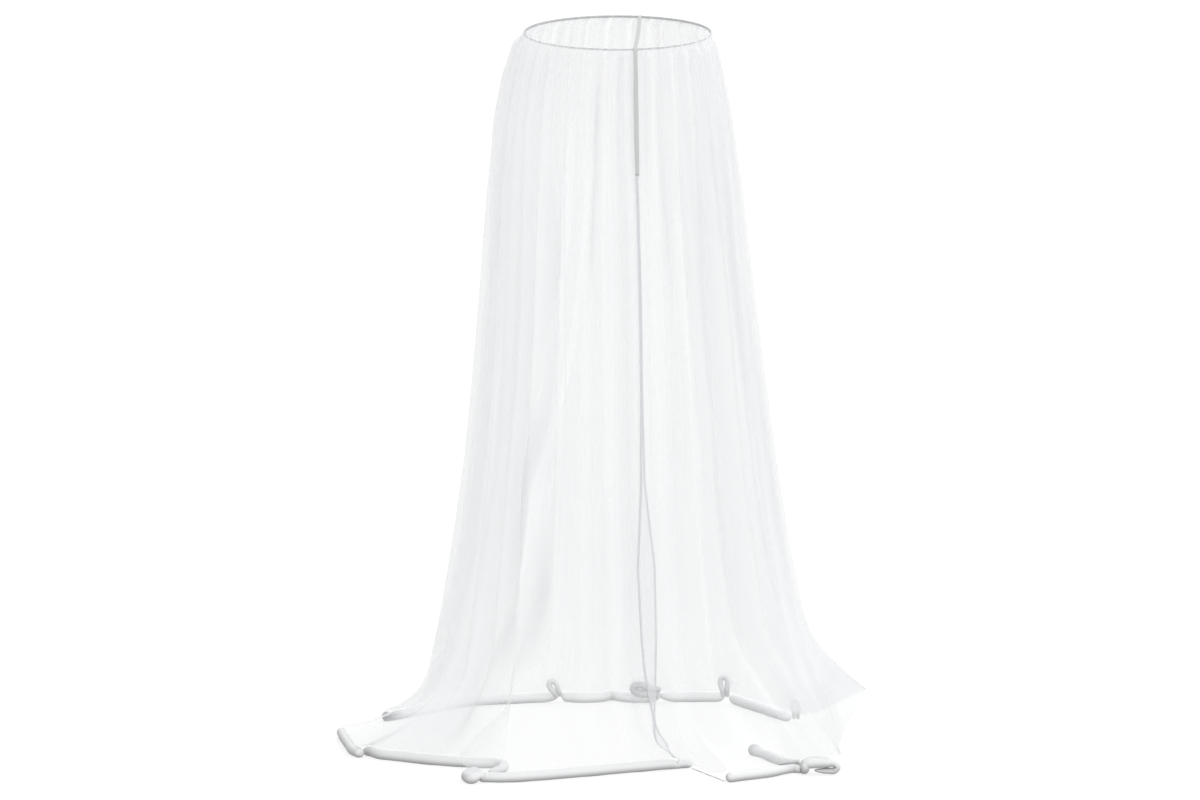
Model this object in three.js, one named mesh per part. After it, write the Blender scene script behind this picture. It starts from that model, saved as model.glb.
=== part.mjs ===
// Parasol mosquito net: a gathered net skirt hung from a thin ring, open down the front,
// with plump weight tubes in a hem that lies on the floor.
// Millimetres, +Z up. The origin is the middle of the footprint on the floor, and -Y is the front.
// The tables below give plan positions from a point near that middle, and PLAN_MIDDLE sets it right.
import * as THREE from 'three';

// Ring, net and hem sizes
const PLAN_MIDDLE = { x: 4, y: -8.5 };
const RING = { x: 56, y: 40, height: 2200, radius: 284, wire: 3, sides: 6, steps: 72 };
const NET_THICKNESS = 1.6;
const NET_TOP_GAP = 1.2;
const PANEL_GAP = 10;
const PANEL_GAP_DROP = 60;
const WEIGHT_RADIUS = 16;
const WEIGHT_SIDES = 10;
const WEIGHT_STEP = 26;
const END_STEPS = [0, 0.2, 0.55, 1];
const END_ROUNDNESS = 0.88;
const LOOP_RADIUS = 6.5;
const LOOP_SIDES = 8;
const LOOP_STEPS = 18;
const LOOP_CLEARANCE = 0.4;
const CORNER_FOLD = { radius: 7.5, stretch: 2.4, steps: 12 };
const COLLAR = { x: 626, y: -478, radius: 20, length: 22, shoulder: 0.72, belly: 0.35 };
const TAPE = { width: 12, thickness: 2.4, bevel: 0.6, steps: 40 };

// Folds of the net: how many go round, and the columns of points that draw each one
const FOLD_COUNT = 30;
const COLUMNS_PER_FOLD = 4;
const PLAIN_EDGE_TURN = 9;
const PANEL_EDGE_TURN = 18;
const FLARE_POWER = 2.2;
const DEEP_FOLD_FADE = { top: 500, bottom: 300 };

// Unevenness of the folds: waves that shift them round the ring in degrees, and that vary their depth
const FOLD_SHIFTS = [
  { waves: 3, degrees: 3.2, phase: 0.7 },
  { waves: 7, degrees: 1.8, phase: 2.1 },
];
const FOLD_DEPTHS = { usual: 0.78, change: 0.3, waves: 5, phase: 1.3, slowWaves: 2, slowPhase: 0.4 };

// Height of the net's lower edge above the floor: over a weight tube, and where the sleeve is empty
const EDGE_ON_WEIGHT = 34;
const EDGE_ON_FLOOR = 7;

// The hang of the net, by its drop below the ring: the share of its spread that it has reached, how far
// its axis leans to the right, the compass angle of the slit, the overlap of each panel past it in
// degrees, and the fold depth
const HANG = [
  { drop: 0, spread: 0, lean: 0, slit: 10.5, overlap: 0.9, fold: 5 },
  { drop: 22, spread: 0.045, lean: -8, slit: 11.5, overlap: 0.9, fold: 13 },
  { drop: 130, spread: 0.129, lean: -14, slit: 11.6, overlap: 0.9, fold: 17 },
  { drop: 270, spread: 0.208, lean: -15, slit: 11.5, overlap: 0.9, fold: 19 },
  { drop: 490, spread: 0.285, lean: -13, slit: 11.6, overlap: 0.9, fold: 21 },
  { drop: 770, spread: 0.358, lean: -7, slit: 11.8, overlap: 0.9, fold: 23 },
  { drop: 1050, spread: 0.439, lean: -2, slit: 11.5, overlap: 0.8, fold: 25 },
  { drop: 1330, spread: 0.536, lean: 1, slit: 11.5, overlap: 1.0, fold: 26 },
  { drop: 1580, spread: 0.642, lean: 1, slit: 12.2, overlap: 4.0, fold: 27 },
  { drop: 1800, spread: 0.760, lean: 3, slit: 13.2, overlap: 3.8, fold: 28 },
  { drop: 1890, spread: 0.818, lean: 4, slit: 13.7, overlap: 3.3, fold: 28 },
  { drop: 2040, spread: 0.915, lean: 3, slit: 15.2, overlap: 1.7, fold: 26 },
  { drop: 2200, spread: 1, lean: 3, slit: 15.9, overlap: 0.6, fold: 20 },
];

// Radius that the hanging net would reach at the floor, by compass angle from the front
const REACH = [
  { angle: -360, radius: 455 },
  { angle: -270, radius: 632 },
  { angle: -180, radius: 470 },
  { angle: -90, radius: 600 },
  { angle: 0, radius: 455 },
  { angle: 90, radius: 632 },
];

// Levels of the net's rows of points, as shares of the way down
const LEVELS = [
  0, 0.011, 0.036, 0.075, 0.14, 0.23, 0.34, 0.45, 0.56,
  0.67, 0.76, 0.84, 0.895, 0.935, 0.965, 0.985, 1,
];

// Deep folds that stand out in the hang: where they are by turn, how wide, how deep, and their drops
const DEEP_FOLDS = [
  { turn: 5, width: 4, depth: 22, from: 150, to: 2050 },
  { turn: 37, width: 4, depth: -18, from: 200, to: 2100 },
  { turn: 43, width: 3, depth: 24, from: 200, to: 2000 },
  { turn: 50, width: 4, depth: -20, from: 300, to: 2100 },
  { turn: 96, width: 7, depth: 26, from: 200, to: 1900 },
  { turn: 148, width: 6, depth: 24, from: 400, to: 2000 },
  { turn: 205, width: 6, depth: -20, from: 500, to: 2000 },
  { turn: 246, width: 7, depth: 26, from: 300, to: 1900 },
  { turn: 296, width: 6, depth: 26, from: 200, to: 1900 },
  { turn: 322, width: 5, depth: 30, from: 150, to: 2000 },
];

// The hem from the left panel's front edge round to the right panel's. The turn is the angle round
// the ring that the net above a station hangs from; a station with no turn carries a tube only.
// The lift is the height of the tube's underside, the size is its plumpness, the edge is the height of
// the net's lower edge, and the flare is the height at which the net leaves its hang for the hem.
const HEM = [
  { weight: 'weight_front', x: 284, y: -380, size: 0.74 },
  { weight: 'weight_front', x: 262, y: -388, size: 0.86 },
  { weight: 'weight_front', x: 244, y: -395, size: 0.86 },
  { weight: 'weight_front', turn: 0, x: 233, y: -399, size: 0.7, flare: 130 },
  { weight: 'weight_front', x: 221, y: -403, size: 0.96 },
  { weight: 'weight_front', turn: 12, x: 124, y: -439, flare: 260 },
  { weight: 'weight_front', turn: 24, x: -50, y: -511, flare: 340 },
  { weight: 'weight_front', turn: 34, x: -180, y: -562, flare: 380 },
  { weight: 'weight_front', turn: 40, x: -293, y: -592 },
  { weight: 'weight_front', turn: 44, x: -350, y: -588 },
  { weight: 'weight_front', turn: 46, x: -388, y: -609.1 },
  { weight: 'weight_front', turn: 48, x: -404, y: -568 },
  { weight: 'weight_front', turn: 50, x: -382, y: -514 },
  { weight: 'weight_front', turn: 51, x: -356, y: -503, size: 0.7 },
  { weight: 'weight_front_left', turn: 52, x: -337, y: -499, size: 0.6 },
  { weight: 'weight_front_left', turn: 53, x: -302, y: -470, size: 0.9 },
  { weight: 'weight_front_left', turn: 54, x: -292, y: -425 },
  { weight: 'weight_front_left', turn: 56, x: -318, y: -391 },
  { weight: 'weight_front_left', turn: 58, x: -366, y: -386 },
  { weight: 'weight_front_left', turn: 66, x: -486, y: -352, flare: 360 },
  { weight: 'weight_front_left', turn: 74, x: -591, y: -302, flare: 300 },
  { weight: 'weight_front_left', turn: 79, x: -668, y: -260, flare: 260 },
  { weight: 'weight_front_left', turn: 83, x: -702, y: -218, size: 0.95, flare: 230 },
  { weight: 'weight_front_left', x: -722, y: -201, size: 0.7 },
  { turn: 86, x: -738, y: -250, edge: EDGE_ON_WEIGHT, flare: 220 },
  { weight: 'weight_left', x: -727, y: -251, size: 0.95 },
  { weight: 'weight_left', x: -752, y: -205 },
  { weight: 'weight_left', turn: 90, x: -766, y: -126, flare: 200 },
  { weight: 'weight_left', turn: 97, x: -783, y: -14, flare: 180 },
  { weight: 'weight_left', turn: 103, x: -793, y: 66, flare: 165 },
  { turn: 110, x: -752, y: 152, flare: 200 },
  { turn: 115, x: -706, y: 218, flare: 230 },
  { weight: 'weight_left_back', turn: 119, x: -667, y: 276, flare: 240 },
  { weight: 'weight_left_back', turn: 123, x: -624, y: 306, flare: 240 },
  { weight: 'weight_left_back', turn: 133, x: -523, y: 400, flare: 230 },
  { weight: 'weight_left_back', turn: 147, x: -400, y: 503, flare: 230 },
  { weight: 'weight_left_back', turn: 157, x: -277, y: 538, flare: 250 },
  { weight: 'weight_left_back', turn: 167, x: -174, y: 558, flare: 260 },
  { weight: 'weight_left_back', turn: 170.5, x: -129, y: 566, lift: 8, size: 0.75, flare: 600 },
  { weight: 'weight_back', turn: 172, x: -118, y: 567, lift: 8, size: 0.75, flare: 600 },
  { weight: 'weight_back', turn: 175, x: -98, y: 566, flare: 260 },
  { weight: 'weight_back', turn: 180, x: -44, y: 555, flare: 260 },
  { weight: 'weight_back', turn: 185, x: 0, y: 563, flare: 260 },
  { weight: 'weight_back', turn: 189, x: 36, y: 592.2, flare: 260 },
  { weight: 'weight_back', turn: 192, x: 72, y: 568, flare: 300 },
  { weight: 'weight_back', turn: 196, x: 104, y: 557, flare: 360 },
  { weight: 'weight_back', turn: 199, x: 140, y: 555, flare: 420 },
  { weight: 'weight_back', turn: 203, x: 182, y: 558, lift: 8, size: 0.75, flare: 420 },
  { weight: 'weight_back_right', turn: 204.5, x: 193, y: 560, lift: 8, size: 0.75, flare: 420 },
  { weight: 'weight_back_right', turn: 209, x: 236, y: 566, flare: 300 },
  { weight: 'weight_back_right', turn: 214, x: 281, y: 569, flare: 260 },
  { weight: 'weight_back_right', turn: 221, x: 362, y: 567, flare: 320 },
  { weight: 'weight_back_right', turn: 224.5, x: 390, y: 564, lift: 8, size: 0.75, flare: 600 },
  { weight: 'weight_right_back', turn: 226.5, x: 408, y: 549, lift: 6, size: 0.75, flare: 600 },
  { weight: 'weight_right_back', turn: 229, x: 423, y: 521, flare: 600 },
  { weight: 'weight_right_back', turn: 241, x: 496, y: 409, flare: 330 },
  { weight: 'weight_right_back', turn: 255, x: 574, y: 286, flare: 400 },
  { weight: 'weight_right_back', turn: 257.5, x: 591, y: 272, lift: 4, size: 0.75 },
  { turn: 261, x: 622, y: 264, edge: 24 },
  { turn: 263, x: 676, y: 300, edge: 24 },
  { turn: 267, x: 826, y: 484, edge: 58, flare: 470 },
  { turn: 274, x: 762, y: 206, flare: 450 },
  { turn: 287, x: 738, y: -45 },
  { turn: 303, x: 732, y: -240 },
  { turn: 309, x: 738, y: -372, edge: 44 },
  { turn: 314, x: 735, y: -436, edge: 66 },
  { turn: 319, x: 694, y: -492, edge: 58 },
  { turn: 324, x: 628, y: -480, edge: 52 },
  { weight: 'weight_front_right', x: 611, y: -463, size: 0.75 },
  { weight: 'weight_front_right', turn: 327, x: 592, y: -456, size: 0.85 },
  { weight: 'weight_front_right', turn: 337, x: 504, y: -526, flare: 300 },
  { weight: 'weight_front_right', turn: 345, x: 412, y: -581, edge: 37, flare: 200 },
  { weight: 'weight_front_right', turn: 346.5, x: 386, y: -597, edge: 40, flare: 190 },
  { turn: 348, x: 372, y: -560, edge: 22, flare: 180 },
  { turn: 351, x: 340, y: -513, edge: 12, flare: 160 },
  { turn: 356, x: 284, y: -434, edge: 12, flare: 130 },
  { turn: 360, x: 240, y: -416, edge: EDGE_ON_WEIGHT, flare: 130 },
];
const USUAL_FLARE = 420;

// The folded-back weight tube inside the front right corner, from its knob to the collar
const FOLDED_WEIGHT = [
  { x: 464, y: -198, size: 1.08 },
  { x: 498, y: -248, size: 0.84 },
  { x: 531, y: -315 },
  { x: 560, y: -368, lift: 4, size: 0.8 },
  { x: 588, y: -404, lift: 12, size: 0.6 },
  { x: 608, y: -424, lift: 18, size: 0.5 },
];

// The empty hem sleeve between the two front weights, rolled to a thin strand on the floor
const STRAND = { radius: 4, steps: 6 };
const STRAND_LINE = [
  { x: 284, y: -402 },
  { x: 322, y: -472 },
  { x: 382, y: -582 },
];

// Middle line of the sleeve that is folded under itself at the front right corner
const CORNER_FOLD_LINE = [
  { x: 641, y: -474, z: 40 },
  { x: 690, y: -476, z: 43 },
  { x: 718, y: -477, z: 38 },
  { x: 728, y: -477, z: 25 },
  { x: 718, y: -477, z: 14 },
  { x: 690, y: -477, z: 11 },
  { x: 643, y: -476, z: 11 },
];

// Middle line of a loop of slack sleeve from foot to foot: its place as a share of the half width, its
// rise as a share of the loop's length, and the share of the way back to the hem that it has gone
const LOOP_LINE = [
  { side: -0.46, rise: 0, back: 1 },
  { side: -0.46, rise: 0.14, back: 0.7 },
  { side: -0.5, rise: 0.38, back: 0.15 },
  { side: -0.7, rise: 0.62, back: 0 },
  { side: -0.68, rise: 0.84, back: 0 },
  { side: -0.36, rise: 0.97, back: 0 },
  { side: 0, rise: 1, back: 0 },
  { side: 0.36, rise: 0.97, back: 0 },
  { side: 0.68, rise: 0.84, back: 0 },
  { side: 0.7, rise: 0.62, back: 0 },
  { side: 0.5, rise: 0.38, back: 0.15 },
  { side: 0.46, rise: 0.14, back: 0.7 },
  { side: 0.46, rise: 0, back: 1 },
];

// Loops of slack sleeve where two weights meet: place under the crown, height of the feet, heading of
// the loop's plane, roll of the crown from upright to the right, width, length, and the way back to the
// hem. The one at the back has fallen over to the left.
const HEM_LOOPS = [
  { name: 'hem_loop_left', x: -124, y: 530, z: 20, heading: 3, roll: -26, width: 30, length: 58, back: 20 },
  { name: 'hem_loop_back', x: 188, y: 530, z: 34, heading: 2, roll: -77, width: 40, length: 84, back: 12 },
  { name: 'hem_loop_right', x: 390, y: 512, z: 24, heading: 0, roll: -5, width: 30, length: 66, back: 14 },
  { name: 'hem_loop_side', x: 604, y: 236, z: 14, heading: -6, roll: 3, width: 29, length: 65, back: 20 },
];

// Route of the draw tape, from the back of the ring over its front and down along the slit
const TAPE_ROUTE = [
  { x: 124, y: 315, z: 2205 },
  { x: 124, y: 290, z: 2204 },
  { x: 123, y: 250, z: 2200.5 },
  { x: 122, y: 200, z: 2196.5 },
  { x: 120, y: 140, z: 2192.5 },
  { x: 118, y: 80, z: 2190 },
  { x: 116, y: 20, z: 2189 },
  { x: 114, y: -40, z: 2189.5 },
  { x: 112, y: -100, z: 2192 },
  { x: 111, y: -150, z: 2195.5 },
  { x: 110, y: -195, z: 2200 },
  { x: 109, y: -228, z: 2204 },
  { x: 109, y: -243, z: 2205.5 },
  { x: 109, y: -254, z: 2203 },
  { x: 109, y: -262, z: 2195 },
  { x: 110, y: -268, z: 2182 },
  { x: 110, y: -273, z: 2160 },
  { x: 111, y: -278, z: 2125 },
  { x: 112, y: -284, z: 2080 },
  { x: 113, y: -290, z: 2020 },
  { x: 114, y: -296, z: 1950 },
  { x: 115, y: -302, z: 1880 },
  { x: 116, y: -306, z: 1818 },
];

const LOOKS = {
  net: { color: 0xf3f5f8, roughness: 0.95, metalness: 0 },
  weight: { color: 0xeef0f2, roughness: 0.7, metalness: 0 },
  ring: { color: 0x9a9ea0, roughness: 0.45, metalness: 0.4 },
  tape: { color: 0xb9bdbe, roughness: 0.85, metalness: 0 },
};

function mix(a, b, share) {
  return a + (b - a) * share;
}

function smooth(value) {
  const share = Math.min(Math.max(value, 0), 1);
  return share * share * (3 - 2 * share);
}

// Value of one column of a table at a place along another column, straight between the rows
function readTable(rows, along, column, place) {
  const last = rows.length - 1;
  if (place <= rows[0][along]) return rows[0][column];
  if (place >= rows[last][along]) return rows[last][column];
  const next = rows.findIndex((row) => row[along] >= place);
  const share = (place - rows[next - 1][along]) / (rows[next][along] - rows[next - 1][along]);
  return mix(rows[next - 1][column], rows[next][column], share);
}

// Radius of the hang at the floor, eased between the four sides
function reachAt(angle) {
  const next = REACH.findIndex((row) => row.angle >= angle);
  const before = REACH[next - 1];
  const share = (angle - before.angle) / (REACH[next].angle - before.angle);
  return mix(before.radius, REACH[next].radius, smooth(share));
}

// The stations that the net's lower edge runs through, with every column filled in
const NET_HEM = HEM.filter((row) => row.turn !== undefined).map((row) => ({
  turn: row.turn,
  x: row.x,
  y: row.y,
  edge: row.edge ?? (row.weight ? EDGE_ON_WEIGHT : EDGE_ON_FLOOR),
  flare: row.flare ?? USUAL_FLARE,
}));

// Uneven spacing of the folds round the ring, still at both front edges
function unevenTurn(share) {
  const swell = Math.sin(Math.PI * share);
  let shift = 0;
  for (const row of FOLD_SHIFTS) shift += row.degrees * Math.sin(2 * Math.PI * row.waves * share + row.phase);
  return 360 * share + swell * swell * shift;
}

// How deep the gathers are at a place along the cloth, as a share of the usual depth
function unevenDepth(share) {
  const quick = Math.sin(2 * Math.PI * FOLD_DEPTHS.waves * share + FOLD_DEPTHS.phase);
  const slow = Math.sin(2 * Math.PI * FOLD_DEPTHS.slowWaves * share + FOLD_DEPTHS.slowPhase);
  return FOLD_DEPTHS.usual + FOLD_DEPTHS.change * quick * slow;
}

// How far the net stands out from its hang: the gathers and the few deep folds
function foldAt(share, turn, drop) {
  const edgeCalm = smooth(Math.min(turn, 360 - turn) / PLAIN_EDGE_TURN);
  const gather = Math.sin(2 * Math.PI * FOLD_COUNT * share);
  let depth = readTable(HANG, 'drop', 'fold', drop) * unevenDepth(share) * gather;
  for (const fold of DEEP_FOLDS) {
    const across = (turn - fold.turn) / fold.width;
    const top = smooth((drop - fold.from) / DEEP_FOLD_FADE.top);
    const bottom = smooth((fold.to - drop) / DEEP_FOLD_FADE.bottom);
    depth -= fold.depth * Math.exp(-across * across) * top * bottom;
  }
  return edgeCalm * depth;
}

// A point of the net's middle surface: share runs along the cloth, level runs down it
function netPoint(share, level) {
  const turn = unevenTurn(share);
  const edge = readTable(NET_HEM, 'turn', 'edge', turn);
  const flare = readTable(NET_HEM, 'turn', 'flare', turn);
  const top = RING.height - RING.wire - NET_TOP_GAP;
  const height = mix(top, edge, level);
  const drop = RING.height - height;
  const leftEdge = Math.max(1 - turn / PANEL_EDGE_TURN, 0);
  const rightEdge = Math.max(1 - (360 - turn) / PANEL_EDGE_TURN, 0);
  const overlap = readTable(HANG, 'drop', 'overlap', drop) * (leftEdge - rightEdge);
  const angle = readTable(HANG, 'drop', 'slit', drop) - turn + overlap;
  const spread = readTable(HANG, 'drop', 'spread', drop);
  const away = smooth(drop / PANEL_GAP_DROP) * (PANEL_GAP / 2) * (rightEdge - leftEdge);
  const radius = mix(RING.radius, reachAt(angle), spread) + foldAt(share, turn, drop) + away;
  const radians = THREE.MathUtils.degToRad(angle);
  const axis = RING.x + readTable(HANG, 'drop', 'lean', drop);
  const hang = { x: axis + radius * Math.sin(radians), y: RING.y - radius * Math.cos(radians) };
  const fall = Math.min(Math.max((flare - height) / (flare - edge), 0), 1) ** FLARE_POWER;
  const x = mix(hang.x, readTable(NET_HEM, 'turn', 'x', turn), fall);
  const y = mix(hang.y, readTable(NET_HEM, 'turn', 'y', turn), fall);
  return new THREE.Vector3(x, y, height);
}

// A closed mesh from its points and its triangles' corner numbers
function closedMesh(points, triangles) {
  const geometry = new THREE.BufferGeometry();
  geometry.setFromPoints(points);
  geometry.setIndex(triangles);
  geometry.computeVertexNormals();
  return geometry;
}

// A thin sheet from rows of points: an outer and an inner skin with rims round all four edges
function sheetGeometry(rows, thickness) {
  const rowCount = rows.length;
  const columnCount = rows[0].length;
  const outer = [];
  const inner = [];
  for (let row = 0; row < rowCount; row += 1) {
    for (let column = 0; column < columnCount; column += 1) {
      const here = rows[row][column];
      const right = rows[row][Math.min(column + 1, columnCount - 1)];
      const left = rows[row][Math.max(column - 1, 0)];
      const below = rows[Math.min(row + 1, rowCount - 1)][column];
      const above = rows[Math.max(row - 1, 0)][column];
      const across = right.clone().sub(left);
      const down = below.clone().sub(above);
      const outward = down.cross(across).normalize().multiplyScalar(-thickness / 2);
      outer.push(here.clone().add(outward));
      inner.push(here.clone().sub(outward));
    }
  }
  const innerStart = outer.length;
  const triangles = [];
  const quad = (a, b, c, d) => triangles.push(a, b, c, a, c, d);
  const at = (row, column) => row * columnCount + column;
  for (let row = 0; row + 1 < rowCount; row += 1) {
    for (let column = 0; column + 1 < columnCount; column += 1) {
      const a = at(row, column);
      const b = at(row, column + 1);
      const c = at(row + 1, column + 1);
      const d = at(row + 1, column);
      quad(a, b, c, d);
      quad(innerStart + a, innerStart + d, innerStart + c, innerStart + b);
    }
  }
  const rim = (a, b) => quad(a, innerStart + a, innerStart + b, b);
  for (let column = 0; column + 1 < columnCount; column += 1) {
    rim(at(0, column), at(0, column + 1));
    rim(at(rowCount - 1, column + 1), at(rowCount - 1, column));
  }
  for (let row = 0; row + 1 < rowCount; row += 1) {
    rim(at(row + 1, 0), at(row, 0));
    rim(at(row, columnCount - 1), at(row + 1, columnCount - 1));
  }
  return closedMesh([...outer, ...inner], triangles);
}

function netGeometry() {
  const columnCount = FOLD_COUNT * COLUMNS_PER_FOLD;
  const rows = LEVELS.map((level) => {
    const row = [];
    for (let column = 0; column <= columnCount; column += 1) row.push(netPoint(column / columnCount, level));
    return row;
  });
  return sheetGeometry(rows, NET_THICKNESS);
}

// Plumpness of a tube at a share of its length, eased between the sizes at its stations
function plumpness(curve, sizes, share) {
  const place = curve.getUtoTmapping(share) * (sizes.length - 1);
  const before = Math.min(Math.floor(place), sizes.length - 2);
  return mix(sizes[before], sizes[before + 1], smooth(place - before));
}

// A tube with rounded ends along a curve that has a size at each of its points. One flat face of its
// sides stays turned along the reference, and its section may be stretched that way. The middle line
// is no lower than given for a full size.
function tubeGeometry(curve, sizes, { radius, sides, steps, reference, lowest, stretch = 1 }) {
  const length = curve.getLength();
  const endSteps = END_STEPS.map((share) => share * radius);
  const places = [...endSteps];
  for (let step = 1; step < steps; step += 1) places.push(mix(radius, length - radius, step / steps));
  places.push(...endSteps.map((place) => length - place).reverse());
  const points = [];
  for (const place of places) {
    const plump = plumpness(curve, sizes, place / length);
    const centre = curve.getPointAt(place / length);
    centre.z = Math.max(centre.z, lowest * plump);
    const along = curve.getTangentAt(place / length);
    const side = along.clone().cross(reference).normalize();
    const up = side.clone().cross(along);
    const inset = 1 - Math.min(place, length - place, radius) / radius;
    const size = radius * plump * Math.sqrt(1 - END_ROUNDNESS * inset * inset);
    for (let corner = 0; corner < sides; corner += 1) {
      const turn = (2 * Math.PI * (corner + 0.5)) / sides;
      const point = centre.clone();
      point.addScaledVector(side, size * Math.sin(turn));
      point.addScaledVector(up, -size * stretch * Math.cos(turn));
      points.push(point);
    }
  }
  const triangles = [];
  const ring = (place, corner) => place * sides + (corner % sides);
  for (let place = 0; place + 1 < places.length; place += 1) {
    for (let corner = 0; corner < sides; corner += 1) {
      const a = ring(place, corner);
      const b = ring(place, corner + 1);
      const c = ring(place + 1, corner + 1);
      const d = ring(place + 1, corner);
      triangles.push(a, c, b, a, d, c);
    }
  }
  const lastRing = places.length - 1;
  for (let corner = 1; corner + 1 < sides; corner += 1) {
    triangles.push(ring(0, 0), ring(0, corner), ring(0, corner + 1));
    triangles.push(ring(lastRing, 0), ring(lastRing, corner + 1), ring(lastRing, corner));
  }
  return closedMesh(points, triangles);
}

// A weight tube through its stations, standing on its flat underside
function weightGeometry(stations) {
  const lowest = WEIGHT_RADIUS * Math.cos(Math.PI / WEIGHT_SIDES);
  const sizes = stations.map((row) => row.size ?? 1);
  const points = stations.map((row, index) => {
    return new THREE.Vector3(row.x, row.y, (row.lift ?? 0) + lowest * sizes[index]);
  });
  const curve = new THREE.CatmullRomCurve3(points, false, 'centripetal');
  const steps = Math.ceil(curve.getLength() / WEIGHT_STEP);
  const reference = new THREE.Vector3(0, 0, 1);
  return tubeGeometry(curve, sizes, { radius: WEIGHT_RADIUS, sides: WEIGHT_SIDES, steps, reference, lowest });
}

// A piece of slack sleeve through its points, just clear of the floor
function sleeveGeometry(points, section, reference) {
  const curve = new THREE.CatmullRomCurve3(points, false, 'centripetal');
  const sizes = points.map(() => 1);
  const lowest = section.radius + LOOP_CLEARANCE;
  return tubeGeometry(curve, sizes, { ...section, sides: LOOP_SIDES, reference, lowest });
}

// A loop of slack sleeve that stands or leans in its own plane
function loopGeometry(loop) {
  const heading = THREE.MathUtils.degToRad(loop.heading);
  const roll = THREE.MathUtils.degToRad(loop.roll);
  const forward = new THREE.Vector3(Math.cos(heading), Math.sin(heading), 0);
  const inward = new THREE.Vector3(-forward.y, forward.x, 0);
  const across = forward.clone().multiplyScalar(Math.cos(roll)).setZ(-Math.sin(roll));
  const crown = forward.clone().multiplyScalar(Math.sin(roll)).setZ(Math.cos(roll));
  const points = LOOP_LINE.map((row) => {
    const point = new THREE.Vector3(loop.x, loop.y, loop.z);
    point.addScaledVector(across, row.side * (loop.width / 2));
    point.addScaledVector(crown, row.rise * loop.length);
    return point.addScaledVector(inward, row.back * loop.back);
  });
  return sleeveGeometry(points, { radius: LOOP_RADIUS, steps: LOOP_STEPS }, inward);
}

// The thin strand of empty sleeve on the floor
function strandGeometry() {
  const points = STRAND_LINE.map((row) => new THREE.Vector3(row.x, row.y, STRAND.radius + LOOP_CLEARANCE));
  return sleeveGeometry(points, STRAND, new THREE.Vector3(0, 0, 1));
}

// The flat sleeve folded under itself at the front right corner
function cornerFoldGeometry() {
  const points = CORNER_FOLD_LINE.map((row) => new THREE.Vector3(row.x, row.y, row.z));
  return sleeveGeometry(points, CORNER_FOLD, new THREE.Vector3(0, 1, 0));
}

// The bunched sleeve at the front right corner: a small drum with rounded shoulders
function collarGeometry() {
  const half = COLLAR.length / 2;
  const shoulder = COLLAR.radius * COLLAR.shoulder;
  const belly = half * COLLAR.belly;
  const profile = [
    new THREE.Vector2(0, -half),
    new THREE.Vector2(shoulder, -half),
    new THREE.Vector2(COLLAR.radius, -belly),
    new THREE.Vector2(COLLAR.radius, belly),
    new THREE.Vector2(shoulder, half),
    new THREE.Vector2(0, half),
  ];
  return new THREE.LatheGeometry(profile, WEIGHT_SIDES);
}

// The flat draw tape with blunted edges, laid along its route
function tapeGeometry() {
  const half = TAPE.width / 2;
  const thin = TAPE.thickness / 2;
  const shape = new THREE.Shape([
    new THREE.Vector2(-half, -thin + TAPE.bevel),
    new THREE.Vector2(-half + TAPE.bevel, -thin),
    new THREE.Vector2(half - TAPE.bevel, -thin),
    new THREE.Vector2(half, -thin + TAPE.bevel),
    new THREE.Vector2(half, thin - TAPE.bevel),
    new THREE.Vector2(half - TAPE.bevel, thin),
    new THREE.Vector2(-half + TAPE.bevel, thin),
    new THREE.Vector2(-half, thin - TAPE.bevel),
  ]);
  const route = new THREE.CatmullRomCurve3(TAPE_ROUTE.map((row) => new THREE.Vector3(row.x, row.y, row.z)));
  return new THREE.ExtrudeGeometry(shape, { steps: TAPE.steps, extrudePath: route, bevelEnabled: false });
}

function addMesh(group, name, geometry, look) {
  const mesh = new THREE.Mesh(geometry, new THREE.MeshStandardMaterial(look));
  mesh.name = name;
  group.add(mesh);
  return mesh;
}

function buildNet() {
  const group = new THREE.Group();
  group.position.set(-PLAN_MIDDLE.x, -PLAN_MIDDLE.y, 0);
  addMesh(group, 'net', netGeometry(), LOOKS.net);
  const hoop = new THREE.TorusGeometry(RING.radius, RING.wire, RING.sides, RING.steps);
  const ring = addMesh(group, 'top_ring', hoop, LOOKS.ring);
  ring.position.set(RING.x, RING.y, RING.height);
  addMesh(group, 'draw_tape', tapeGeometry(), LOOKS.tape);
  const weightNames = new Set(HEM.filter((row) => row.weight).map((row) => row.weight));
  for (const name of weightNames) {
    addMesh(group, name, weightGeometry(HEM.filter((row) => row.weight === name)), LOOKS.weight);
  }
  addMesh(group, 'weight_folded_back', weightGeometry(FOLDED_WEIGHT), LOOKS.weight);
  for (const loop of HEM_LOOPS) addMesh(group, loop.name, loopGeometry(loop), LOOKS.weight);
  addMesh(group, 'hem_strand', strandGeometry(), LOOKS.weight);
  addMesh(group, 'hem_loop_corner', cornerFoldGeometry(), LOOKS.weight);
  const collar = addMesh(group, 'hem_collar', collarGeometry(), LOOKS.weight);
  collar.position.set(COLLAR.x, COLLAR.y, COLLAR.radius);
  collar.rotation.z = Math.PI / 2;
  return group;
}

export default buildNet();
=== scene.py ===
"""Looks of a parasol mosquito net: sheer netting on a ring, filled hem tubes, slack sleeve and a tape."""

import math

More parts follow.
